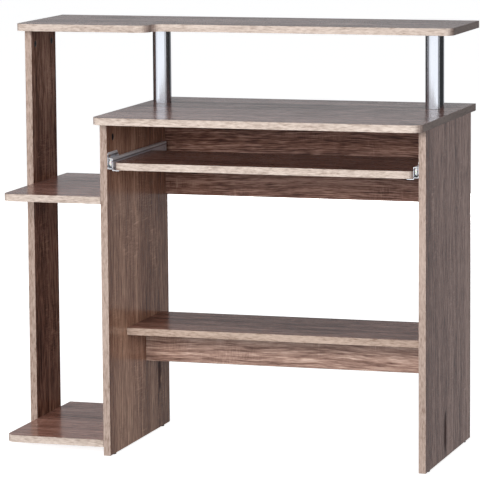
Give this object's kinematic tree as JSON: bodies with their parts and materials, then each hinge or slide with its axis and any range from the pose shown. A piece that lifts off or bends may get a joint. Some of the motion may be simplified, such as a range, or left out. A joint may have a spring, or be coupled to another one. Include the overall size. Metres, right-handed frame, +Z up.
{
  "type": "computer desk",
  "caption": "Computer desk with a raised shelf on round posts, a side stand of shelves, a lower shelf and a keyboard tray that slides out on rollers.",
  "frame": {"origin": "on the floor, under the middle of the overall width and depth", "axes": "+X to the right of a seated user, +Y towards the back, +Z up"},
  "size_m": [0.985, 0.502, 0.9392],
  "materials": {
    "grey_oak_board": "grey-brown oak melamine, satin",
    "satin_aluminium": "satin",
    "coated_steel": "light grey coating",
    "zinc": "zinc plated",
    "white_nylon": "matte",
    "black_plastic": "matte"
  },
  "bodies": {
    "frame": {"back_panel": "grey_oak_board", "cabinet_rail_left": "coated_steel", "cabinet_rail_right": "coated_steel", "cabinet_rail_screw_left_back": "zinc", "cabinet_rail_screw_left_front": "zinc", "cabinet_rail_screw_right_back": "zinc", "cabinet_rail_screw_right_front": "zinc", "cam_bolt_desk_left_back": "zinc", "cam_bolt_desk_left_front": "zinc", "cam_bolt_desk_right_back": "zinc", "cam_bolt_desk_right_front": "zinc", "cam_bolt_stand_back": "zinc", "cam_bolt_stand_front": "zinc", "cam_lock_desk_left_back": "zinc", "cam_lock_desk_left_front": "zinc", "cam_lock_desk_right_back": "zinc", "cam_lock_desk_right_front": "zinc", "cam_lock_stand_back": "zinc", "cam_lock_stand_front": "zinc", "desk_side_left": "grey_oak_board", "desk_side_right": "grey_oak_board", "desktop": "grey_oak_board", "front_axle_left": "zinc", "front_axle_right": "zinc", "glide_desk_left_back": "black_plastic", "glide_desk_left_front": "black_plastic", "glide_desk_right_back": "black_plastic", "glide_desk_right_front": "black_plastic", "glide_stand_back": "black_plastic", "glide_stand_front": "black_plastic", "lower_shelf": "grey_oak_board", "lower_stretcher": "grey_oak_board", "stand_bottom_shelf": "grey_oak_board", "stand_middle_shelf": "grey_oak_board", "stand_side": "grey_oak_board", "top_shelf": "grey_oak_board", "tube_bolt_left": "zinc", "tube_bolt_right": "zinc", "tube_left": "satin_aluminium", "tube_plug_left_lower": "black_plastic", "tube_plug_left_upper": "black_plastic", "tube_plug_right_lower": "black_plastic", "tube_plug_right_upper": "black_plastic", "tube_right": "satin_aluminium", "tube_stud_left": "zinc", "tube_stud_right": "zinc"},
    "tray": {"keyboard_tray": "grey_oak_board", "rear_axle_left": "zinc", "rear_axle_right": "zinc", "tray_rail_left": "coated_steel", "tray_rail_right": "coated_steel", "tray_rail_screw_left_back": "zinc", "tray_rail_screw_left_front": "zinc", "tray_rail_screw_right_back": "zinc", "tray_rail_screw_right_front": "zinc"},
    "front_wheel_left": {"front_roller_left": "white_nylon"},
    "front_wheel_right": {"front_roller_right": "white_nylon"},
    "rear_wheel_left": {"rear_roller_left": "white_nylon"},
    "rear_wheel_right": {"rear_roller_right": "white_nylon"}
  },
  "joints": [
    {"name": "tray_slide", "type": "slide", "parent": "frame", "child": "tray", "axis": [0, -1, 0], "range_m": [0, 0.25]},
    {"name": "front_wheel_left_spin", "type": "hinge", "parent": "frame", "child": "front_wheel_left", "pos_m": [-0.2239, -0.176, 0.6499], "axis": [1, 0, 0], "continuous": true},
    {"name": "front_wheel_right_spin", "type": "hinge", "parent": "frame", "child": "front_wheel_right", "pos_m": [0.4589, -0.176, 0.6499], "axis": [1, 0, 0], "continuous": true},
    {"name": "rear_wheel_left_spin", "type": "hinge", "parent": "tray", "child": "rear_wheel_left", "pos_m": [-0.2227, 0.165, 0.64635], "axis": [1, 0, 0], "continuous": true},
    {"name": "rear_wheel_right_spin", "type": "hinge", "parent": "tray", "child": "rear_wheel_right", "pos_m": [0.4577, 0.165, 0.64635], "axis": [1, 0, 0], "continuous": true}
  ],
  "couplings": [
    {"joint": "front_wheel_left_spin", "follows": "tray_slide", "rad_per_m": 113.64},
    {"joint": "front_wheel_right_spin", "follows": "tray_slide", "rad_per_m": 113.64},
    {"joint": "rear_wheel_left_spin", "follows": "tray_slide", "rad_per_m": 119.76},
    {"joint": "rear_wheel_right_spin", "follows": "tray_slide", "rad_per_m": 119.76}
  ]
}
